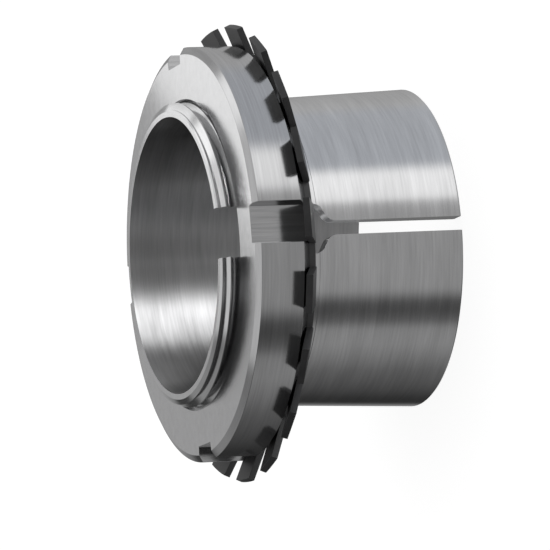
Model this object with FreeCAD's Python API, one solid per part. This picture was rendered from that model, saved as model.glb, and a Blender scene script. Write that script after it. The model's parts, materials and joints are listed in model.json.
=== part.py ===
"""Bearing adapter sleeve with lock nut and lock washer, standing on its big end.

The sleeve is bored for a 50 mm shaft. Its lower outside is a 1:12 taper that carries the bearing,
its upper outside a M55 x 2 thread. One slit through the wall lets the sleeve close on the shaft;
it widens into a keyway that holds the tongue of the lock washer. Millimetres, +Z up, origin at the
centre of the big end's face, slit and keyway on the -Y side.
"""
import FreeCAD, Part

import math
import os

from FreeCAD import Vector

# Sleeve
bore_d = 50.0
sleeve_len = 45.0
thread_d = 55.0
lead_in = 1.5
lead_in_angle = 30.0
edge_break = 0.3

# Taper that carries the bearing
taper_len = 26.8
taper_small_d = 55.6
taper_rate = 1.0 / 12.0

# Plain land, a step down from the taper's small end, and the thread's undercut above the land
land_width = 1.4
land_step = 0.1
relief_width = 2.3
relief_d = 52.3

# Slit, keyway and the S-shaped flare that joins them
slit_width = 2.5
keyway_width = 9.0
keyway_len = 17.3
flare_radius = 2.2

# Lock nut
nut_od = 75.0
nut_width = 11.0
nut_setback = 3.1
nut_front_chamfer = 1.3
nut_front_angle = 30.0
nut_bore_chamfer = 0.6
nut_thread_clearance = 0.05
slot_count = 4
slot_depth = 3.0
slot_floor_width = 6.6
slot_mouth_width = 7.4

# Lock washer
washer_thick = 1.2
washer_bore_clearance = 0.25
washer_seat_d = 67.0
tab_count = 19
tab_width = 7.0
tab_len = 7.9
tab_angle = 24.0
tab_gap_angle = 6.0
tab_bend_radius = 0.5
tongue_side_clearance = 0.5
tongue_shaft_clearance = 0.8

# Places along the axis and radii that follow from the sizes above
bore_r = bore_d / 2
thread_r = thread_d / 2
relief_r = relief_d / 2
taper_small_r = taper_small_d / 2
taper_big_r = taper_small_r + taper_len * taper_rate / 2
land_r = taper_small_r - land_step
nut_r = nut_od / 2
nut_top = sleeve_len - nut_setback
nut_bottom = nut_top - nut_width
washer_top = nut_bottom
washer_bottom = washer_top - washer_thick
washer_bore_r = max(land_r, thread_r) + washer_bore_clearance
washer_seat_r = washer_seat_d / 2

# Spanner slots and tabs are counted from here, in degrees about Z: the -Y side, over the slit
slit_side_angle = -90.0

# Cutting tools stand this far clear of what they cut
overrun = 1.0

origin = Vector(0, 0, 0)
z_axis = Vector(0, 0, 1)


def turned(outline):
    """Solid of revolution about the Z axis from (radius, height) corners."""
    corners = [Vector(radius, 0, height) for radius, height in outline]
    section = Part.Face(Part.makePolygon(corners + corners[:1]))
    return section.revolve(origin, z_axis, 360)


def repeated(shape, count, start_angle):
    """Copies of a shape, evenly spaced round the Z axis."""
    copies = []
    for index in range(count):
        copy = shape.copy()
        copy.rotate(origin, z_axis, start_angle + index * 360.0 / count)
        copies.append(copy)
    return copies


def sleeve_blank():
    """The sleeve before it is slit: taper, land, undercut and thread at crest diameter."""
    land_top = taper_len + land_width
    relief_top = land_top + relief_width
    runout_top = relief_top + thread_r - relief_r
    lead_in_depth = lead_in * math.tan(math.radians(lead_in_angle))
    return turned([
        (bore_r + edge_break, 0),
        (taper_big_r - edge_break, 0),
        (taper_big_r, edge_break),
        (taper_small_r, taper_len),
        (land_r, taper_len),
        (land_r, land_top),
        (relief_r, land_top),
        (relief_r, relief_top),
        (thread_r, runout_top),
        (thread_r, sleeve_len - lead_in_depth),
        (thread_r - lead_in, sleeve_len),
        (bore_r + edge_break, sleeve_len),
        (bore_r, sleeve_len - edge_break),
        (bore_r, edge_break),
    ])


def flare_arcs(side):
    """Two tangent arcs from the slit's edge up to the keyway's edge, on one side (+1 or -1)."""
    slit_x = slit_width / 2
    keyway_x = keyway_width / 2
    turn = math.acos(1 - (keyway_x - slit_x) / (2 * flare_radius))
    reach = flare_radius * math.sin(turn)
    keyway_end = sleeve_len - keyway_len
    slit_end = keyway_end - 2 * reach

    def point(centre_x, centre_z, sense, angle):
        x = centre_x - sense * flare_radius * math.cos(angle)
        z = centre_z + sense * flare_radius * math.sin(angle)
        return Vector(side * x, 0, z)

    lower = [point(slit_x + flare_radius, slit_end, 1, turn * share) for share in (0, 0.5, 1)]
    upper = [point(keyway_x - flare_radius, keyway_end, -1, turn * share) for share in (1, 0.5, 0)]
    return lower, upper


def slit_tool():
    """Everything that the slit and the keyway remove, as one outline pushed through the wall."""
    lower_right, upper_right = flare_arcs(1)
    lower_left, upper_left = flare_arcs(-1)
    below = -overrun
    above = sleeve_len + overrun
    corners = [
        Vector(lower_left[0].x, 0, below),
        Vector(lower_right[0].x, 0, below),
        lower_right[0],
        upper_right[-1],
        Vector(upper_right[-1].x, 0, above),
        Vector(upper_left[-1].x, 0, above),
        upper_left[-1],
        lower_left[0],
    ]
    edges = [
        Part.LineSegment(corners[0], corners[1]).toShape(),
        Part.LineSegment(corners[1], corners[2]).toShape(),
        Part.Arc(*lower_right).toShape(),
        Part.Arc(*upper_right).toShape(),
        Part.LineSegment(corners[3], corners[4]).toShape(),
        Part.LineSegment(corners[4], corners[5]).toShape(),
        Part.LineSegment(corners[5], corners[6]).toShape(),
        Part.Arc(*reversed(upper_left)).toShape(),
        Part.Arc(*reversed(lower_left)).toShape(),
        Part.LineSegment(corners[7], corners[0]).toShape(),
    ]
    outline = Part.Face(Part.Wire(edges))
    return outline.extrude(Vector(0, -(taper_big_r + overrun), 0))


def adapter_sleeve():
    """The slit tapered sleeve."""
    return sleeve_blank().cut(slit_tool())


def nut_blank():
    """The lock nut before its slots are milled, bored to clear the thread's crests.

    Its rear face is as wide as the washer's flat ring, and its rear cone leaves room for the tabs.
    """
    nut_bore_r = thread_r + nut_thread_clearance
    rear_slope = math.tan(math.radians(tab_angle + tab_gap_angle))
    rear_depth = (nut_r - washer_seat_r) * rear_slope
    front_depth = nut_front_chamfer * math.tan(math.radians(nut_front_angle))
    return turned([
        (nut_bore_r + nut_bore_chamfer, nut_bottom),
        (washer_seat_r, nut_bottom),
        (nut_r, nut_bottom + rear_depth),
        (nut_r, nut_top - front_depth),
        (nut_r - nut_front_chamfer, nut_top),
        (nut_bore_r + nut_bore_chamfer, nut_top),
        (nut_bore_r, nut_top - nut_bore_chamfer),
        (nut_bore_r, nut_bottom + nut_bore_chamfer),
    ])


def spanner_slot():
    """One slot for a hook spanner: a flat floor and walls that open slightly outwards."""
    floor_r = nut_r - slot_depth
    outside_r = nut_r + overrun
    floor_half = slot_floor_width / 2
    widening = (slot_mouth_width - slot_floor_width) / 2 / slot_depth
    outside_half = floor_half + widening * (outside_r - floor_r)
    base_z = nut_bottom - overrun
    corners = [
        Vector(floor_r, -floor_half, base_z),
        Vector(outside_r, -outside_half, base_z),
        Vector(outside_r, outside_half, base_z),
        Vector(floor_r, floor_half, base_z),
    ]
    outline = Part.Face(Part.makePolygon(corners + corners[:1]))
    return outline.extrude(Vector(0, 0, nut_width + 2 * overrun))


def lock_nut():
    """The round slotted nut, one slot over the keyway."""
    nut = nut_blank()
    for slot in repeated(spanner_slot(), slot_count, slit_side_angle):
        nut = nut.cut(slot)
    return nut


def washer_tab():
    """One tab, bent up towards the nut, with the round end of the blank it was pressed from."""
    bend = math.radians(tab_angle)
    along = Vector(math.cos(bend), 0, math.sin(bend))
    normal = Vector(-math.sin(bend), 0, math.cos(bend))
    bend_centre = Vector(washer_seat_r, 0, washer_top + tab_bend_radius)
    outer_radius = tab_bend_radius + washer_thick
    root_x = washer_seat_r - washer_thick

    def bend_point(radius, share):
        angle = bend * share
        return bend_centre + Vector(radius * math.sin(angle), 0, -radius * math.cos(angle))

    top_bend = [bend_point(tab_bend_radius, share) for share in (0, 0.5, 1)]
    bottom_bend = [bend_point(outer_radius, share) for share in (0, 0.5, 1)]
    root_top = Vector(root_x, 0, washer_top)
    root_bottom = Vector(root_x, 0, washer_bottom)
    tip_top = top_bend[-1] + along * tab_len
    tip_bottom = bottom_bend[-1] + along * tab_len
    edges = [
        Part.LineSegment(root_bottom, bottom_bend[0]).toShape(),
        Part.Arc(*bottom_bend).toShape(),
        Part.LineSegment(bottom_bend[-1], tip_bottom).toShape(),
        Part.LineSegment(tip_bottom, tip_top).toShape(),
        Part.LineSegment(tip_top, top_bend[-1]).toShape(),
        Part.Arc(*reversed(top_bend)).toShape(),
        Part.LineSegment(top_bend[0], root_top).toShape(),
        Part.LineSegment(root_top, root_bottom).toShape(),
    ]
    strip = Part.Face(Part.Wire(edges)).extrude(Vector(0, tab_width, 0))
    strip.translate(Vector(0, -tab_width / 2, 0))
    blank_r = washer_seat_r + tab_len
    blank_centre = tip_bottom - along * blank_r - normal * blank_r
    round_end = Part.makeCylinder(blank_r, 2 * blank_r, blank_centre, normal)
    return strip.common(round_end)


def washer_tongue():
    """The tongue that reaches into the sleeve's keyway and stops the washer turning."""
    width = keyway_width - 2 * tongue_side_clearance
    tip_r = bore_r + tongue_shaft_clearance
    root_r = washer_bore_r + washer_thick
    corner = Vector(-width / 2, -root_r, washer_bottom)
    return Part.makeBox(width, root_r - tip_r, washer_thick, corner)


def lock_washer():
    """Flat ring with bent tabs outside and one straight tongue inside."""
    ring = turned([
        (washer_bore_r, washer_bottom),
        (washer_seat_r, washer_bottom),
        (washer_seat_r, washer_top),
        (washer_bore_r, washer_top),
    ])
    tabs = repeated(washer_tab(), tab_count, slit_side_angle)
    return ring.multiFuse(tabs + [washer_tongue()]).removeSplitter()


def main():
    os.makedirs("parts", exist_ok=True)
    nodes = {
        "adapter_sleeve": adapter_sleeve(),
        "lock_nut": lock_nut(),
        "lock_washer": lock_washer(),
    }
    for name, shape in nodes.items():
        shape.exportStep(f"parts/{name}.step")
        box = shape.BoundBox
        print(f"{name}: {len(shape.Solids)} solid, valid {shape.isValid()}, {shape.Volume:.1f} mm3, "
              f"z {box.ZMin:.2f} to {box.ZMax:.2f}, across {box.XLength:.2f} x {box.YLength:.2f}")


main()
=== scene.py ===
"""Looks of the bearing adapter sleeve: steel sleeve and lock nut, black lock washer, studio and camera.

The three pieces stand where the frame has them. The sleeve and the nut get their real M55 x 2 thread here.
"""

import json
import math

import bmesh
import bpy
import numpy as np
from mathutils import Matrix, Vector


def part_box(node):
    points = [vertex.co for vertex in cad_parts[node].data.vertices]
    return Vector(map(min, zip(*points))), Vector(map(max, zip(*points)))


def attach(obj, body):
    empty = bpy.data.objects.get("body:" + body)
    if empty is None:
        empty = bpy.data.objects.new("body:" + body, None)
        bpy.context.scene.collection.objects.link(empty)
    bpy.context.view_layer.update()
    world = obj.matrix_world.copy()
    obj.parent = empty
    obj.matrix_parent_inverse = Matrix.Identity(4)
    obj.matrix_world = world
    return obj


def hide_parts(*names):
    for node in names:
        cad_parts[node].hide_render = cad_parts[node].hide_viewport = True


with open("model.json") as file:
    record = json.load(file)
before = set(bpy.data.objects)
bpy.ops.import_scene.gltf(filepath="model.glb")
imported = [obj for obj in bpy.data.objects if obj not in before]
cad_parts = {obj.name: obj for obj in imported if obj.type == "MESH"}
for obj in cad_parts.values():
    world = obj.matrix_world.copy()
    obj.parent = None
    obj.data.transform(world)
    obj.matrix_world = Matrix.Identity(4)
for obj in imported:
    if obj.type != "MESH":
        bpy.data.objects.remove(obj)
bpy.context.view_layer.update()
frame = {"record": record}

MM = 0.001

# Angles are counted from here, about the axis: the -Y side, where the slit is
SLIT_SIDE = -math.pi / 2

# Places read from the frame, in millimetres
_, sleeve_high = (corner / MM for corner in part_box("adapter_sleeve"))
nut_low, nut_high = (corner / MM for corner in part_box("lock_nut"))
washer_low, _ = (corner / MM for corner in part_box("lock_washer"))
mounts = {mount["name"]: mount for mount in frame["record"]["mounts"]}
BORE_R = mounts["shaft_bore"]["dims"]["r_mm"]
SLEEVE_LEN = sleeve_high.z
NUT_BOTTOM = nut_low.z
NUT_TOP = nut_high.z
WASHER_BOTTOM = washer_low.z

# Sleeve
EDGE_BREAK = 0.3
TAPER_LEN = 26.8
TAPER_SMALL_R = 27.8
TAPER_RATE = 1 / 12
TAPER_SLOPE = TAPER_RATE / 2
TAPER_BIG_R = TAPER_SMALL_R + TAPER_LEN * TAPER_SLOPE
LAND_R = 27.7
LAND_WIDTH = 1.4
LAND_TOP = TAPER_LEN + LAND_WIDTH
RELIEF_R = 26.15
RELIEF_WIDTH = 2.3
RELIEF_TOP = LAND_TOP + RELIEF_WIDTH
SLIT_HALF = 1.25
KEYWAY_HALF = 4.5
KEYWAY_LEN = 17.3
KEYWAY_END = SLEEVE_LEN - KEYWAY_LEN
FLARE_R = 2.2
FLARE_TURN = math.acos(1 - (KEYWAY_HALF - SLIT_HALF) / (2 * FLARE_R))
SLIT_END = KEYWAY_END - 2 * FLARE_R * math.sin(FLARE_TURN)

# Thread
PITCH = 2.0
CREST_R = 27.5
ROOT_R = 26.27
FLANK_RUN = (CREST_R - ROOT_R) / math.tan(math.radians(60))
CREST_FLAT = 0.25
LEAD_IN = 1.5
LEAD_IN_SLOPE = math.tan(math.radians(30))
THREAD_PHASE = 1.45
NUT_THREAD_GAP = 0.05
NUT_MINOR_R = 26.45
FLANK_STEPS = 7
CREST_STEPS = 3

# Nut
NUT_R = 37.5
NUT_REAR_R = 33.5
NUT_CONE_SLOPE = math.tan(math.radians(30))
NUT_REAR_DEPTH = (NUT_R - NUT_REAR_R) * NUT_CONE_SLOPE
NUT_FRONT_CHAMFER = 1.3
NUT_FRONT_DEPTH = NUT_FRONT_CHAMFER * NUT_CONE_SLOPE
NUT_BORE_CHAMFER = 0.6
NUT_MOUTH_R = CREST_R + NUT_THREAD_GAP + NUT_BORE_CHAMFER
NUT_ROUNDED_FROM_R = CREST_R + 1.0
SLOT_COUNT = 4
SLOT_DEPTH = 3.0
SLOT_FLOOR_HALF = 3.3
SLOT_MOUTH_HALF = 3.7

# Washer
WASHER_THICK = 1.2
WASHER_TOP = WASHER_BOTTOM + WASHER_THICK
WASHER_BORE_R = 27.95
WASHER_SEAT_R = 33.5
TAB_COUNT = 19
TAB_HALF = 3.5
TAB_LEN = 7.9
TAB_BEND = math.radians(24)
TAB_BEND_R = 0.5
TONGUE_HALF = 4.0
TONGUE_TIP_R = 25.8

# Material slots of the two steel pieces
TURNED_KIND = 0
MILLED_KIND = 1
FACED_KIND = 2
BORE_KIND = 3

# Rounded edges of the nut and the washer, and how sharp an edge is that gets one
NUT_EDGE = 0.07
WASHER_EDGE = 0.1
EDGE_SEGMENTS = 2
SHARP_ANGLE = math.radians(20)
WASHER_SHARP_ANGLE = math.radians(50)

# Steps of the meshes: round the sleeve, along its flare, round the nut between two slots, across a slot,
# across a tab, along its bend and round the washer between two tabs
SLEEVE_STEPS = 360
FLARE_STEPS = 16
LAND_STEPS = 84
SLOT_STEPS = 8
TAB_STEPS = 8
BEND_STEPS = 4
GAP_STEPS = 6

# Points in the same cell of a grid this fine are one
WELD = 0.0005


class Shell:
    """Patches of points that are welded into one mesh."""

    def __init__(self):
        self.points = []
        self.faces = []
        self.kinds = []

    def add(self, points):
        """Numbers of newly added points."""
        start = len(self.points)
        self.points.extend(tuple(point) for point in points)
        return list(range(start, len(self.points)))

    def grid(self, rows, kind=TURNED_KIND):
        """Quads between rows of points, an array of rows x columns x 3."""
        count = rows.shape[1]
        numbers = np.array(self.add(rows.reshape(-1, 3))).reshape(-1, count)
        for low, high in zip(numbers[:-1], numbers[1:]):
            for column in range(count - 1):
                self.faces.append((low[column], low[column + 1], high[column + 1], high[column]))
                self.kinds.append(kind)

    def split_grid(self, rows, excess, between):
        """Quads as in grid, each cut where excess changes sign. Between gives the point on an edge there."""
        count = rows.shape[1]
        numbers = np.array(self.add(rows.reshape(-1, 3))).reshape(-1, count)
        over = excess > 0
        for low in range(len(rows) - 1):
            for column in range(count - 1):
                corners = [(low, column), (low, column + 1), (low + 1, column + 1), (low + 1, column)]
                parts = {True: [], False: []}
                for corner, following in zip(corners, corners[1:] + corners[:1]):
                    parts[bool(over[corner])].append(numbers[corner])
                    if over[corner] != over[following]:
                        cut = self.add([between(corner, following)])
                        parts[True] += cut
                        parts[False] += cut
                for part in parts.values():
                    if part:
                        self.faces.append(tuple(part))
                        self.kinds.append(TURNED_KIND)

    def polygon(self, points, kind):
        """One flat face."""
        self.faces.append(tuple(self.add(points)))
        self.kinds.append(kind)

    def build(self, name):
        """Welds equal points, drops what has collapsed and returns the object, its faces looking outwards."""
        points = np.array(self.points) * MM
        keys = np.round(points / (WELD * MM)).astype(np.int64)
        _, first, index = np.unique(keys, axis=0, return_index=True, return_inverse=True)
        index = index.ravel()
        faces = []
        kinds = []
        for face, kind in zip(self.faces, self.kinds):
            corners = [int(index[number]) for number in face]
            kept = [c for place, c in enumerate(corners) if c != corners[place - 1]]
            if len(set(kept)) > 2:
                faces.append(kept)
                kinds.append(kind)
        mesh = bpy.data.meshes.new(name)
        mesh.from_pydata([tuple(point) for point in points[first]], [], faces)
        mesh.polygons.foreach_set("material_index", kinds)
        work = bmesh.new()
        work.from_mesh(mesh)
        loose = [vertex for vertex in work.verts if not vertex.link_faces]
        bmesh.ops.delete(work, geom=loose, context="VERTS")
        bmesh.ops.recalc_face_normals(work, faces=work.faces)
        work.to_mesh(mesh)
        work.free()
        mesh.validate()
        piece = bpy.data.objects.new(name, mesh)
        bpy.context.scene.collection.objects.link(piece)
        return piece


def shade(piece):
    """Smooth shading up to the sharp edges."""
    mesh = piece.data
    mesh.polygons.foreach_set("use_smooth", [True] * len(mesh.polygons))
    mesh.set_sharp_from_angle(angle=SHARP_ANGLE)


def add_bevel(piece, width, limit):
    """A narrow rounding of those edges that the limit picks."""
    bevel = piece.modifiers.new("edges", "BEVEL")
    bevel.limit_method = limit
    bevel.width = width * MM
    bevel.segments = EDGE_SEGMENTS
    bevel.harden_normals = True
    return bevel


def round_edges(piece, width, from_radius):
    """Rounds the sharp edges that lie outside a radius."""
    work = bmesh.new()
    work.from_mesh(piece.data)
    weights = work.edges.layers.float.new("bevel_weight_edge")
    for edge in work.edges:
        outside = all(math.hypot(v.co.x, v.co.y) > from_radius * MM for v in edge.verts)
        if outside and len(edge.link_faces) == 2 and edge.calc_face_angle() > SHARP_ANGLE:
            edge[weights] = 1.0
    work.to_mesh(piece.data)
    work.free()
    add_bevel(piece, width, "WEIGHT")


def polar(radius, angle, height):
    """Points from a radius, an angle from the slit's side and a height, broadcast together."""
    radius, angle, height = np.broadcast_arrays(radius, angle, height)
    turned = angle + SLIT_SIDE
    return np.stack([radius * np.cos(turned), radius * np.sin(turned), height], axis=-1)


def thread_radius(height, angle):
    """Radius of the outer thread's surface, a right-hand helix."""
    along = np.mod(height - PITCH * angle / (2 * math.pi) - THREAD_PHASE, PITCH)
    from_crest = np.minimum(along, PITCH - along)
    drop = np.clip((from_crest - CREST_FLAT / 2) / FLANK_RUN, 0, 1)
    return CREST_R - drop * (CREST_R - ROOT_R)


def lead_in_radius(height):
    """Radius of the cone that leads into the thread at the sleeve's end."""
    return CREST_R - LEAD_IN + (SLEEVE_LEN - height) / LEAD_IN_SLOPE


def thread_starts(low, high):
    """Heights at angle 0 of the thread's rows, from a pitch below low up to high."""
    half_crest = CREST_FLAT / 2
    side = list(half_crest * np.linspace(0, 1, CREST_STEPS + 1)[:-1])
    side += list(half_crest + FLANK_RUN * np.linspace(0, 1, FLANK_STEPS + 1))
    offsets = [-value for value in reversed(side[1:])] + side
    first = math.floor((low - THREAD_PHASE) / PITCH) - 1
    last = math.ceil((high - THREAD_PHASE) / PITCH) + 1
    return [THREAD_PHASE + turn * PITCH + offset for turn in range(first, last) for offset in offsets]


def half_gap(height):
    """Half the width of the opening in the sleeve's wall: slit, flare or keyway."""
    height = np.asarray(height, float)
    low = np.clip(height - SLIT_END, 0, FLARE_R * math.sin(FLARE_TURN))
    high = np.clip(KEYWAY_END - height, 0, FLARE_R * math.sin(FLARE_TURN))
    rising = SLIT_HALF + FLARE_R - np.sqrt(FLARE_R ** 2 - low ** 2)
    closing = KEYWAY_HALF - FLARE_R + np.sqrt(FLARE_R ** 2 - high ** 2)
    return np.where(height < (SLIT_END + KEYWAY_END) / 2, rising, closing)


def sleeve_rows():
    """The sleeve's outside from the big end up to the undercut, and the heights that the flare needs."""
    shares = [0.5 - 0.5 * math.cos(math.pi * step / FLARE_STEPS) for step in range(FLARE_STEPS + 1)]
    flare = [SLIT_END + (KEYWAY_END - SLIT_END) * share for share in shares]
    levels = sorted(set(flare + [TAPER_LEN, LAND_TOP]))
    outside = [(BORE_R + EDGE_BREAK, 0), (TAPER_BIG_R - EDGE_BREAK, 0), (TAPER_BIG_R, EDGE_BREAK)]
    for level in levels:
        if level <= TAPER_LEN:
            outside.append((TAPER_SMALL_R + (TAPER_LEN - level) * TAPER_SLOPE, level))
        if level >= TAPER_LEN:
            outside.append((LAND_R, level))
    outside += [(RELIEF_R, LAND_TOP), (RELIEF_R, RELIEF_TOP)]
    return outside, levels


def around(radius, height, share):
    """Points round the sleeve, from one side of its opening at share 0 to the other at share 1."""
    edge = np.arcsin(half_gap(height) / radius)
    return polar(radius, edge + share * (2 * math.pi - 2 * edge), height)


def sleeve_thread(share):
    """The thread's points, how far each would stand out of the lead-in's cone, and where it cuts an edge."""
    starts = np.array(thread_starts(RELIEF_TOP, SLEEVE_LEN))[:, None]
    edge = math.asin(KEYWAY_HALF / CREST_R)
    angle = edge + share * (2 * math.pi - 2 * edge)
    height = np.clip(starts + PITCH * angle / (2 * math.pi), RELIEF_TOP, SLEEVE_LEN)
    runout = RELIEF_R + height - RELIEF_TOP
    uncut = np.minimum(runout, thread_radius(height, angle))
    excess = uncut - lead_in_radius(height)
    threaded = around(np.minimum(uncut, lead_in_radius(height)), height, share)

    def on_lead_in(first, second):
        """Where the lead-in's cone cuts the edge between two points of the thread."""
        part = excess[first] / (excess[first] - excess[second])
        level = height[first] + (height[second] - height[first]) * part
        start, end = share[0, first[1]], share[0, second[1]]
        return around(lead_in_radius(level), level, start + (end - start) * part)

    return threaded, excess, on_lead_in


def keyway_outline(threaded, excess, on_lead_in, column):
    """The thread's profile on one wall of the keyway, with the points where the lead-in's cone cuts it."""
    outline = []
    for row, point in enumerate(threaded[:, column]):
        if row and (excess[row, column] > 0) != (excess[row - 1, column] > 0):
            outline.append(on_lead_in((row - 1, column), (row, column)))
        outline.append(point)
    return outline


def turned_sleeve():
    """The sleeve: taper, land, undercut, thread, bore, slit and keyway."""
    shell = Shell()
    share = np.linspace(0, 1, SLEEVE_STEPS + 1)[None, :]
    outside, levels = sleeve_rows()
    plain = np.array(outside)
    lower = around(plain[:, :1], plain[:, 1:], share)
    threaded, excess, on_lead_in = sleeve_thread(share)
    inside = [(BORE_R, SLEEVE_LEN)] + [(BORE_R, level) for level in reversed(levels)]
    inside += [(BORE_R, EDGE_BREAK), (BORE_R + EDGE_BREAK, 0)]
    bore = np.array(inside)
    bored = around(bore[:, :1], bore[:, 1:], share)
    shell.grid(np.concatenate([lower, threaded[:1]]))
    shell.split_grid(threaded, excess, on_lead_in)
    shell.grid(np.concatenate([threaded[-1:], bored[:1]]), kind=FACED_KIND)
    shell.grid(bored, kind=BORE_KIND)

    # The opening's walls, cut at the levels: each level's last point outside, and the points inside, of
    # which the first is the edge break's and the next is on the first level
    ends = [int(np.flatnonzero(plain[:, 1] == level)[-1]) for level in levels]
    for column in (0, -1):
        outer = list(lower[:, column])
        inner = list(bored[-2::-1, column])
        shell.polygon(outer[:ends[0] + 1] + inner[1::-1], kind=MILLED_KIND)
        for place, (start, end) in enumerate(zip(ends, ends[1:]), start=1):
            shell.polygon(outer[start:end + 1] + [inner[place + 1], inner[place]], kind=MILLED_KIND)
        top = outer[ends[-1]:] + keyway_outline(threaded, excess, on_lead_in, column)
        shell.polygon(top + [bored[0, column], inner[len(levels)]], kind=MILLED_KIND)
    return shell.build("sleeve_turned")


def wall_angle(radius):
    """Angle from a slot's middle to its wall, where a circle of this radius meets it."""
    lean = (SLOT_MOUTH_HALF - SLOT_FLOOR_HALF) / SLOT_DEPTH
    offset = SLOT_FLOOR_HALF - lean * (NUT_R - SLOT_DEPTH)
    a = 1 + lean ** 2
    b = 2 * lean * offset
    c = offset ** 2 - radius ** 2
    reach = (-b + math.sqrt(b * b - 4 * a * c)) / (2 * a)
    return math.atan2(lean * reach + offset, reach)


def nut_rear(radius):
    """Height of the nut's rear cone."""
    return NUT_BOTTOM + (radius - NUT_REAR_R) * NUT_CONE_SLOPE


def add_nut_thread(shell, angle):
    """The nut's inner thread with its two chamfers, at angles that match the nut's faces."""
    starts = np.array(thread_starts(NUT_BOTTOM, NUT_TOP))[:, None]
    height = np.clip(starts + PITCH * angle / (2 * math.pi), NUT_BOTTOM, NUT_TOP)
    mouth = NUT_MOUTH_R - np.minimum(height - NUT_BOTTOM, NUT_TOP - height)
    threaded = np.maximum(thread_radius(height, angle) + NUT_THREAD_GAP, NUT_MINOR_R)
    shell.grid(polar(np.maximum(mouth, threaded), angle, height))


def turned_nut():
    """The lock nut with its inner thread, chamfers and spanner slots."""
    shell = Shell()
    floor = NUT_R - SLOT_DEPTH
    corner_r = math.hypot(floor, SLOT_FLOOR_HALF)
    corner = math.atan2(SLOT_FLOOR_HALF, floor)
    pitch = 2 * math.pi / SLOT_COUNT
    land = np.linspace(0, 1, LAND_STEPS + 1)
    across = np.linspace(-corner, corner, SLOT_STEPS + 1)
    straight = floor / np.cos(across)
    rim = [(NUT_R, NUT_BOTTOM + NUT_REAR_DEPTH), (NUT_R, NUT_TOP - NUT_FRONT_DEPTH),
           (NUT_R - NUT_FRONT_CHAMFER, NUT_TOP)]
    outline = [(NUT_MOUTH_R, NUT_BOTTOM), (NUT_REAR_R, NUT_BOTTOM), (corner_r, nut_rear(corner_r))] + rim
    outline += [(corner_r, NUT_TOP), (NUT_MOUTH_R, NUT_TOP)]
    slot = [(NUT_MOUTH_R, NUT_BOTTOM), (NUT_REAR_R, NUT_BOTTOM), (straight, nut_rear(straight)),
            (straight, NUT_TOP), (NUT_MOUTH_R, NUT_TOP)]
    inner_angles = []
    for index in range(SLOT_COUNT):
        middle = index * pitch
        rows = []
        for radius, height in outline:
            edge = wall_angle(radius) if radius > corner_r else corner
            rows.append(polar(radius, middle + edge + land * (pitch - 2 * edge), height))
        shell.grid(np.array(rows[:-2]))
        shell.grid(np.array(rows[-3:]), kind=FACED_KIND)
        slot_rows = [polar(radius, middle + across, height) for radius, height in slot]
        shell.grid(np.array(slot_rows[:3]))
        shell.grid(np.array(slot_rows[2:4]), kind=MILLED_KIND)
        shell.grid(np.array(slot_rows[3:]), kind=FACED_KIND)
        for side in (-1, 1):
            wall = [polar(corner_r, middle + side * corner, nut_rear(corner_r))]
            wall += [polar(radius, middle + side * wall_angle(radius), height) for radius, height in rim]
            wall.append(polar(corner_r, middle + side * corner, NUT_TOP))
            shell.polygon(wall, kind=MILLED_KIND)
        inner_angles += list(middle + across[:-1])
        inner_angles += list(middle + corner + land[:-1] * (pitch - 2 * corner))
    inner_angles.append(inner_angles[0] + 2 * math.pi)
    add_nut_thread(shell, np.array(inner_angles)[None, :])
    return shell.build("nut_turned")


def tab_rows(middle, across, angles):
    """One tab's upper side, from the ring's rim over the bend to the tip, which is round like the blank."""
    bends = np.linspace(0, TAB_BEND, BEND_STEPS + 1)[1:]
    along, lift = math.cos(TAB_BEND), math.sin(TAB_BEND)
    profile = [(0, 0)] + [(TAB_BEND_R * math.sin(bend), TAB_BEND_R * (1 - math.cos(bend))) for bend in bends]
    profile.append((TAB_BEND_R * lift + TAB_LEN * along, TAB_BEND_R * (1 - along) + TAB_LEN * lift))
    blank_r = WASHER_SEAT_R + TAB_LEN
    tip_sag = blank_r - np.sqrt(blank_r ** 2 - across ** 2)
    turned = Matrix.Rotation(middle + SLIT_SIDE, 3, "Z")
    rows = [polar(WASHER_SEAT_R, middle + angles, WASHER_TOP)]
    for place, (out, up) in enumerate(profile):
        sags = tip_sag if place == len(profile) - 1 else np.zeros_like(across)
        row = [turned @ Vector((WASHER_SEAT_R + out - sag * along, y, WASHER_TOP + up - sag * lift))
               for y, sag in zip(across, sags)]
        rows.append(np.array(row))
    return np.array(rows)


def washer_face():
    """The washer's upper side: the ring, its tabs and the tongue."""
    shell = Shell()
    pitch = 2 * math.pi / TAB_COUNT
    across = np.linspace(-TAB_HALF, TAB_HALF, TAB_STEPS + 1)
    tab_angles = np.arcsin(across / WASHER_SEAT_R)
    gap = np.linspace(tab_angles[-1], pitch - tab_angles[-1], GAP_STEPS + 1)
    tongue_edge = math.asin(TONGUE_HALF / WASHER_BORE_R)
    tongue_sides = {0: tongue_edge, TAB_COUNT - 1: pitch - tongue_edge}
    for index in range(TAB_COUNT):
        middle = index * pitch
        beside = np.sort(np.append(gap, tongue_sides[index])) if index in tongue_sides else gap
        angles = middle + np.concatenate([tab_angles, beside[1:]])
        shell.grid(polar(np.array([[WASHER_BORE_R], [WASHER_SEAT_R]]), angles[None, :], WASHER_TOP))
        shell.grid(tab_rows(middle, across, tab_angles))

    # The tongue takes its points from the ring's inner rim
    near = gap[gap < tongue_edge]
    root_angles = np.concatenate([tab_angles, near, -near, [tongue_edge, -tongue_edge]])
    root = polar(WASHER_BORE_R, np.unique(np.round(root_angles, decimals=9)), WASHER_TOP)
    tip = root.copy()
    tip[:, 1] = -TONGUE_TIP_R
    shell.grid(np.array([tip, root]))
    return shell.build("washer_pressed")


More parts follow.
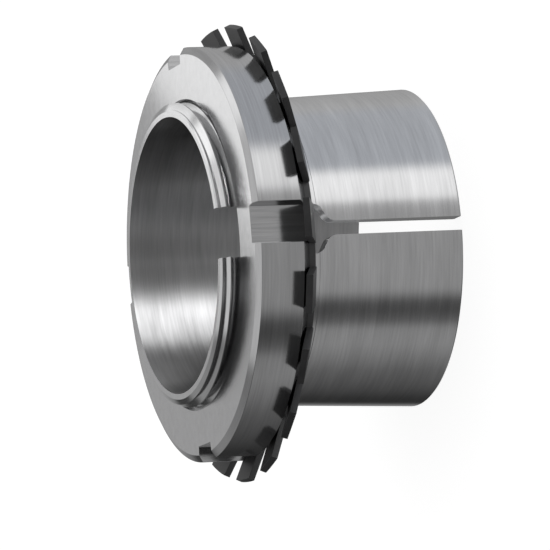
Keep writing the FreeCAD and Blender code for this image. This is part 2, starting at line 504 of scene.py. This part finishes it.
def pressed_washer():
    """The lock washer, made as its upper side and thickened downwards."""
    piece = washer_face()
    work = bmesh.new()
    work.from_mesh(piece.data)
    if sum(face.normal.z * face.calc_area() for face in work.faces) < 0:
        bmesh.ops.reverse_faces(work, faces=work.faces)
    work.to_mesh(piece.data)
    work.free()
    sheet = piece.modifiers.new("sheet", "SOLIDIFY")
    sheet.thickness = WASHER_THICK * MM
    sheet.offset = -1
    sheet.use_even_offset = True
    add_bevel(piece, WASHER_EDGE, "ANGLE").angle_limit = WASHER_SHARP_ANGLE
    piece.data.polygons.foreach_set("use_smooth", [True] * len(piece.data.polygons))
    return piece


class Nodes:
    """Short ways to add and join the nodes of one material or world."""

    def __init__(self, tree):
        self.tree = tree
        tree.nodes.clear()

    def add(self, kind, **settings):
        node = self.tree.nodes.new(kind)
        for name, value in settings.items():
            setattr(node, name, value)
        return node

    def join(self, source, target):
        self.tree.links.new(source, target)

    def feed(self, socket, value):
        """Sets a socket to a constant, or joins it to the socket that its value comes from."""
        if isinstance(value, bpy.types.NodeSocket):
            self.join(value, socket)
        else:
            socket.default_value = value

    def parts(self, coordinate):
        """x, y and z of a texture coordinate."""
        split = self.add("ShaderNodeSeparateXYZ")
        self.join(self.add("ShaderNodeTexCoord").outputs[coordinate], split.inputs[0])
        return split.outputs

    def math(self, operation, *values):
        node = self.add("ShaderNodeMath", operation=operation)
        for socket, value in zip(node.inputs, values):
            self.feed(socket, value)
        return node.outputs[0]

    def blend(self, first, second, share):
        """Two values added up, the first with this share of the whole."""
        return self.math("ADD", self.math("MULTIPLY", first, share), self.math("MULTIPLY", second, 1 - share))

    def stretched(self, parts, scales):
        """A vector of parts, each times its scale."""
        node = self.add("ShaderNodeCombineXYZ")
        for socket, part, scale in zip(node.inputs, parts, scales):
            self.join(self.math("MULTIPLY", part, scale), socket)
        return node.outputs[0]

    def noise(self, vector, detail, roughness, scale=1.0):
        node = self.add("ShaderNodeTexNoise")
        node.inputs["Scale"].default_value = scale
        node.inputs["Detail"].default_value = detail
        node.inputs["Roughness"].default_value = roughness
        self.join(vector, node.inputs["Vector"])
        return node.outputs["Fac"]

    def ramp(self, factor, stops):
        """A colour ramp from places and what stands there, a grey or a colour."""
        node = self.add("ShaderNodeValToRGB")
        ramp = node.color_ramp
        while len(ramp.elements) < len(stops):
            ramp.elements.new(0.5)
        for element, (place, colour) in zip(ramp.elements, stops):
            element.position = place
            element.color = (*colour, 1) if isinstance(colour, tuple) else (colour, colour, colour, 1)
        self.join(factor, node.inputs[0])
        return node.outputs[0]

    def edge(self, value, start, end):
        """0 before start, 1 after end, smooth between."""
        node = self.add("ShaderNodeMapRange", interpolation_type="SMOOTHSTEP")
        node.inputs["From Min"].default_value = min(start, end)
        node.inputs["From Max"].default_value = max(start, end)
        node.inputs["To Min"].default_value = 0.0 if start < end else 1.0
        node.inputs["To Max"].default_value = 1.0 if start < end else 0.0
        self.join(value, node.inputs["Value"])
        return node.outputs[0]

    def over(self, below, above, mask):
        """A grey or a colour laid over another. Sockets 6, 7 and 2 are the node's colours and result."""
        node = self.add("ShaderNodeMix", data_type="RGBA")
        self.join(mask, node.inputs["Factor"])
        self.join(below, node.inputs[6])
        self.feed(node.inputs[7], (above, above, above, 1) if isinstance(above, float) else above)
        return node.outputs[2]

    def bump(self, height, strength):
        node = self.add("ShaderNodeBump")
        node.inputs["Strength"].default_value = strength
        node.inputs["Distance"].default_value = MARK_DEPTH
        self.join(height, node.inputs["Height"])
        return node.outputs[0]

    def surface(self, sockets):
        """The material's surface, each named socket with its constant or its source."""
        shader = self.add("ShaderNodeBsdfPrincipled")
        for name, value in sockets.items():
            self.feed(shader.inputs[name], value)
        output = self.add("ShaderNodeOutputMaterial")
        self.join(shader.outputs[0], output.inputs["Surface"])


# Tool marks of each finish as waves of noise to the metre along x, y and z, the fine and the broad ones.
# Marks round the axis have a unit circle for x and y, and a share of the radius is added to z.
MARKS = {
    "round": ((3.0, 3.0, 2600.0), (1.6, 1.6, 420.0)),
    "along": ((2600.0, 2600.0, 90.0), (500.0, 500.0, 20.0)),
    "grain": ((4200.0, 4200.0, 4200.0), (700.0, 700.0, 700.0)),
}
RADIUS_SHARE = 0.9
FINE_SHARE = 0.55

# Depth in metres of the marks, how strong they are, and how far the roughness spreads with them
MARK_DEPTH = 0.00001
MARK_STRENGTH = 0.25
MARK_SPREAD = 0.12
QUARTER_TURN = 0.25

# Nearly all of a noise lies between these values
NOISE_LOW = 0.3
NOISE_HIGH = 0.7

# Black oxide: waves to the metre, darkest and lightest colour, least roughness and its spread
OXIDE_GRAIN = 5200.0
OXIDE_CLOUDS = 320.0
OXIDE_DARK = (0.010, 0.010, 0.0105)
OXIDE_LIGHT = (0.026, 0.026, 0.027)
OXIDE_ROUGHNESS = 0.32
OXIDE_SPREAD = 0.2
OXIDE_STRENGTH = 0.2
OXIDE_IOR = 1.6


def new_material(name):
    """A new material and its empty nodes."""
    material = bpy.data.materials.new(name)
    material.use_nodes = True
    return material, Nodes(material.node_tree)


def tool_marks(nodes, finish):
    """The places of the fine and the broad tool marks in their noises."""
    x, y, z = nodes.parts("Object")
    if finish == "round":
        # A unit circle round the axis, so that the marks have no seam
        squares = nodes.math("ADD", nodes.math("MULTIPLY", x, x), nodes.math("MULTIPLY", y, y))
        radius = nodes.math("SQRT", squares)
        x = nodes.math("DIVIDE", x, radius)
        y = nodes.math("DIVIDE", y, radius)
        z = nodes.math("MULTIPLY_ADD", radius, RADIUS_SHARE, z)
    return [nodes.stretched((x, y, z), waves) for waves in MARKS[finish]]


def steel(name, grey, roughness, anisotropy, streak, finish="round"):
    """Bright machined steel. Its tool marks run round the axis, along it, or are a fine even grain."""
    material, nodes = new_material(name)
    fine, broad = tool_marks(nodes, finish)
    fine_noise = nodes.noise(fine, detail=3.0, roughness=0.6)
    broad_noise = nodes.noise(broad, detail=2.0, roughness=0.5)
    marks = nodes.blend(fine_noise, broad_noise, FINE_SHARE)
    dark = tuple(value * (1 - streak) for value in grey)
    light = tuple(value * (1 + streak) for value in grey)
    sockets = {
        "Base Color": nodes.ramp(marks, [(NOISE_LOW, dark), (NOISE_HIGH, light)]),
        "Metallic": 1.0,
        "Roughness": nodes.math("MULTIPLY_ADD", marks, MARK_SPREAD, roughness - MARK_SPREAD / 2),
        "Anisotropic": anisotropy,
        "Anisotropic Rotation": QUARTER_TURN,
        "Normal": nodes.bump(marks, MARK_STRENGTH),
    }
    if finish == "round":
        sockets["Tangent"] = nodes.add("ShaderNodeTangent", direction_type="RADIAL", axis="Z").outputs[0]
    nodes.surface(sockets)
    return material


def black_oxide():
    """Blackened sheet steel with a slight sheen and a fine grain."""
    material, nodes = new_material("washer_black_oxide")
    place = nodes.add("ShaderNodeTexCoord").outputs["Object"]
    grain = nodes.noise(place, detail=3.0, roughness=0.6, scale=OXIDE_GRAIN)
    clouds = nodes.noise(place, detail=3.0, roughness=0.55, scale=OXIDE_CLOUDS)
    mixed = nodes.blend(grain, clouds, 0.5)
    nodes.surface({
        "Base Color": nodes.ramp(mixed, [(NOISE_LOW, OXIDE_DARK), (NOISE_HIGH, OXIDE_LIGHT)]),
        "Metallic": 0.0,
        "Roughness": nodes.math("MULTIPLY_ADD", mixed, OXIDE_SPREAD, OXIDE_ROUGHNESS),
        "IOR": OXIDE_IOR,
        "Normal": nodes.bump(mixed, OXIDE_STRENGTH),
    })
    return material


# The camera stands where the photograph's does: 1.18 m away, over the threaded end, rolled on its side.
# Around and up are measured from the slit's side and from the sleeve's axis.
SLIT_ABOVE_EYE = math.radians(8.15)
CAMERA_OFF_AXIS = math.radians(70.6)
CAMERA_ROLL = math.radians(-1.93)
CAMERA_DISTANCE = 1183.0
CAMERA_AIM_DEPTH = 19.36
CAMERA_AIM_UP = -4.12
CAMERA_FOCAL_PIXELS = 6526.0
FRAME_PIXELS = 550
SENSOR = 36.0

photo_up = Vector((math.cos(SLIT_ABOVE_EYE), -math.sin(SLIT_ABOVE_EYE), 0))
photo_near = Vector((-math.sin(SLIT_ABOVE_EYE), -math.cos(SLIT_ABOVE_EYE), 0))
photo_right = Vector((0, 0, -1))


def add_camera():
    """The camera of the photograph."""
    back = photo_near * math.sin(CAMERA_OFF_AXIS) - photo_right * math.cos(CAMERA_OFF_AXIS)
    right = photo_up.cross(back)
    up = back.cross(right)
    turned_right = right * math.cos(CAMERA_ROLL) + up * math.sin(CAMERA_ROLL)
    turned_up = up * math.cos(CAMERA_ROLL) - right * math.sin(CAMERA_ROLL)
    aim = Vector((0, 0, SLEEVE_LEN - CAMERA_AIM_DEPTH)) + photo_up * CAMERA_AIM_UP
    place = (aim + back * CAMERA_DISTANCE) * MM
    data = bpy.data.cameras.new("camera")
    data.sensor_width = SENSOR
    data.lens = CAMERA_FOCAL_PIXELS / FRAME_PIXELS * SENSOR
    data.clip_start = 0.1
    camera = bpy.data.objects.new("camera", data)
    axes = Matrix((turned_right, turned_up, back)).transposed()
    camera.matrix_world = Matrix.Translation(place) @ axes.to_4x4()
    bpy.context.scene.collection.objects.link(camera)
    bpy.context.scene.camera = camera


def add_world():
    """A studio of walls, cards and softboxes round the part, as azimuth from the camera and elevation."""
    world = bpy.data.worlds.new("studio")
    world.use_nodes = True
    bpy.context.scene.world = world
    nodes = Nodes(world.node_tree)
    x, y, z = nodes.parts("Generated")
    near_angle = math.atan2(photo_near.y, photo_near.x)
    cos_near, sin_near = math.cos(near_angle), math.sin(near_angle)
    along = nodes.math("ADD", nodes.math("MULTIPLY", x, cos_near), nodes.math("MULTIPLY", y, sin_near))
    side = nodes.math("SUBTRACT", nodes.math("MULTIPLY", y, cos_near), nodes.math("MULTIPLY", x, sin_near))
    # 0 is the side of the camera, and more is towards the photograph's top
    azimuth = nodes.math("MULTIPLY", nodes.math("ARCTAN2", side, along), 180 / math.pi)
    elevation = nodes.math("MULTIPLY", nodes.math("ARCSINE", z), 180 / math.pi)

    # The same as 0 to 1, with the side of the camera in the middle
    turn = nodes.math("MULTIPLY_ADD", azimuth, 1 / 360, 0.5)

    def stop(degrees, value):
        return (0.5 + degrees / 360, value)

    def patch(middle_azimuth, middle_elevation, radius, soft):
        """A round patch with a soft edge, for a small softbox or flag."""
        across = nodes.math("MULTIPLY", nodes.math("SUBTRACT", azimuth, middle_azimuth),
                            math.cos(math.radians(middle_elevation)))
        up = nodes.math("SUBTRACT", elevation, middle_elevation)
        distance = nodes.math("SQRT", nodes.math("ADD", nodes.math("MULTIPLY", across, across),
                                                 nodes.math("MULTIPLY", up, up)))
        return nodes.edge(distance, radius + soft, radius - soft)

    # Below the horizon, where the cylinders look: grey wall, bright card, cool fill and dark flags
    low = nodes.ramp(turn, [
        stop(-180, 0.36), stop(-168, 0.30), stop(-154, 0.03), stop(-140, 0.045), stop(-100, 0.17),
        stop(-74, 0.36), stop(-61, 0.36), stop(-54, 0.15), stop(-46, 0.09), stop(-39, 0.11), stop(-30, 0.42),
        stop(8, 0.43), stop(28, 0.50), stop(33, 0.62), stop(37, 1.30), stop(56, 1.38),
        stop(64, (0.585, 0.61, 0.65)), stop(118, (0.58, 0.60, 0.635)), stop(130, 0.58), stop(144, 0.50),
        stop(160, 0.42), stop(180, 0.24),
    ])
    # Above it: behind the part, where the flat faces and chamfers look, and in front, where the bore looks
    back = nodes.ramp(turn, [
        stop(-180, 0.50), stop(-160, 0.40), stop(-140, 0.33), stop(-125, 0.10), stop(-70, 0.06),
        stop(-46, 0.10), stop(-34, 0.36), stop(-24, 0.34), stop(-14, 0.08), stop(0, 0.16), stop(20, 0.30),
        stop(50, 0.40), stop(90, 0.42), stop(105, 0.85), stop(122, 0.85), stop(150, 0.48), stop(180, 0.50),
    ])
    light = nodes.over(low, back, nodes.edge(elevation, 2.0, 8.0))
    # A small softbox and a dark flag, which the chamfers and the flare mirror, and the ceiling
    light = nodes.over(light, 1.5, patch(middle_azimuth=141.0, middle_elevation=44.0, radius=10.0, soft=3.0))
    light = nodes.over(light, 0.05, patch(middle_azimuth=-160.0, middle_elevation=13.0, radius=9.0, soft=3.0))
    light = nodes.over(light, 0.8, nodes.edge(elevation, 56.0, 60.0))
    background = nodes.add("ShaderNodeBackground")
    background.inputs["Strength"].default_value = 1.0
    nodes.join(light, background.inputs["Color"])
    output = nodes.add("ShaderNodeOutputWorld")
    nodes.join(background.outputs[0], output.inputs["Surface"])


def add_softbox(name, place, facing, upright, width, height, radiance, lights_only=None):
    """A softbox that polished faces mirror and the floor doesn't see. Facing and upright are directions."""
    data = bpy.data.lights.new(name, "AREA")
    data.shape = "RECTANGLE"
    data.size = width * MM
    data.size_y = height * MM
    data.energy = radiance * math.pi * data.size * data.size_y
    softbox = bpy.data.objects.new(name, data)
    back = -facing.normalized()
    right = upright.cross(back).normalized()
    up = back.cross(right)
    axes = Matrix((right, up, back)).transposed()
    softbox.matrix_world = Matrix.Translation(place * MM) @ axes.to_4x4()
    softbox.visible_camera = False
    softbox.visible_diffuse = False
    bpy.context.scene.collection.objects.link(softbox)
    if lights_only:
        # Seen at first hand only, not by way of another face
        data.cycles.max_bounces = 0
        lit = bpy.data.collections.new(name + "_lights")
        lit.objects.link(lights_only)
        softbox.light_linking.receiver_collection = lit


# The key softbox stands high on the camera's side, and the bore mirrors it through the open end
KEY_AZIMUTH = math.radians(75)
KEY_ELEVATION = math.radians(54)
KEY_DISTANCE = 900.0
KEY_WIDTH = 540.0
KEY_HEIGHT = 250.0
KEY_RADIANCE = 46.0

# The face softbox hangs close behind the part, its lower edge askew, and the flat faces mirror it
FACE_BOX_DISTANCE = 60.0
FACE_BOX_SKEW = math.radians(58)
FACE_BOX_OFFSET = 12.0
FACE_BOX_SHIFT = -13.0
FACE_BOX_WIDTH = 40.0
FACE_BOX_LENGTH = 62.0
FACE_BOX_RADIANCE = 0.74


def add_softboxes(sleeve):
    """The softboxes that are lamps of their own: the key for the sleeve alone, and one for flat faces."""
    to_key = (photo_near * math.cos(KEY_AZIMUTH) + photo_up * math.sin(KEY_AZIMUTH)) * math.cos(KEY_ELEVATION)
    to_key -= photo_right * math.sin(KEY_ELEVATION)
    add_softbox("key", to_key * KEY_DISTANCE, -to_key, -photo_right, KEY_WIDTH, KEY_HEIGHT, KEY_RADIANCE,
                lights_only=sleeve)

    mirrored = -photo_near * math.sin(CAMERA_OFF_AXIS) - photo_right * math.cos(CAMERA_OFF_AXIS)
    rise = (mirrored * photo_right.dot(mirrored) - photo_right).normalized()
    outwards = photo_up * math.cos(FACE_BOX_SKEW) + rise * math.sin(FACE_BOX_SKEW)
    edge_run = rise * math.cos(FACE_BOX_SKEW) - photo_up * math.sin(FACE_BOX_SKEW)
    place = Vector((0, 0, NUT_TOP)) + mirrored * FACE_BOX_DISTANCE
    place += outwards * (FACE_BOX_OFFSET + FACE_BOX_WIDTH / 2) + edge_run * FACE_BOX_SHIFT
    add_softbox("face", place, -mirrored, edge_run, FACE_BOX_WIDTH, FACE_BOX_LENGTH, FACE_BOX_RADIANCE)


# The floor, half as wide as this in metres, a grey that also shines by itself
FLOOR_HALF = 3.0
FLOOR_GREY = 0.3
FLOOR_GLOW = 0.9


def add_floor():
    """A plain white floor, which the part doesn't mirror."""
    corners = [(x * FLOOR_HALF, y * FLOOR_HALF, 0) for x, y in ((-1, -1), (1, -1), (1, 1), (-1, 1))]
    mesh = bpy.data.meshes.new("floor")
    mesh.from_pydata(corners, [], [(0, 1, 2, 3)])
    floor = bpy.data.objects.new("floor", mesh)
    bpy.context.scene.collection.objects.link(floor)
    floor.visible_glossy = False
    material, nodes = new_material("floor_white")
    nodes.surface({
        "Base Color": (FLOOR_GREY, FLOOR_GREY, FLOOR_GREY, 1),
        "Roughness": 1.0,
        "Specular IOR Level": 0.0,
        "Emission Color": (1, 1, 1, 1),
        "Emission Strength": FLOOR_GLOW,
    })
    mesh.materials.append(material)


turned_steel = steel("turned_steel", (0.58, 0.58, 0.585), roughness=0.165, anisotropy=0.3, streak=0.15)
nut_steel = steel("nut_turned_steel", (0.49, 0.49, 0.495), roughness=0.165, anisotropy=0.3, streak=0.15)
milled_steel = steel("milled_steel", (0.52, 0.52, 0.525), roughness=0.15, anisotropy=0.0, streak=0.22,
                     finish="along")
faced_steel = steel("faced_steel", (0.55, 0.55, 0.555), roughness=0.20, anisotropy=0.0, streak=0.09,
                    finish="grain")
bored_steel = steel("bored_steel", (0.47, 0.47, 0.474), roughness=0.35, anisotropy=1.0, streak=0.18)

sleeve = turned_sleeve()
shade(sleeve)
for material in (turned_steel, milled_steel, faced_steel, bored_steel):
    sleeve.data.materials.append(material)
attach(sleeve, "sleeve")
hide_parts("adapter_sleeve")

nut = turned_nut()
round_edges(nut, NUT_EDGE, NUT_ROUNDED_FROM_R)
shade(nut)
for material in (nut_steel, milled_steel, faced_steel):
    nut.data.materials.append(material)
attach(nut, "nut")
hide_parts("lock_nut")

washer = pressed_washer()
washer.data.materials.append(black_oxide())
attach(washer, "washer")
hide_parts("lock_washer")

add_floor()
add_world()
add_softboxes(sleeve)
add_camera()
bpy.context.scene.view_settings.view_transform = "Standard"
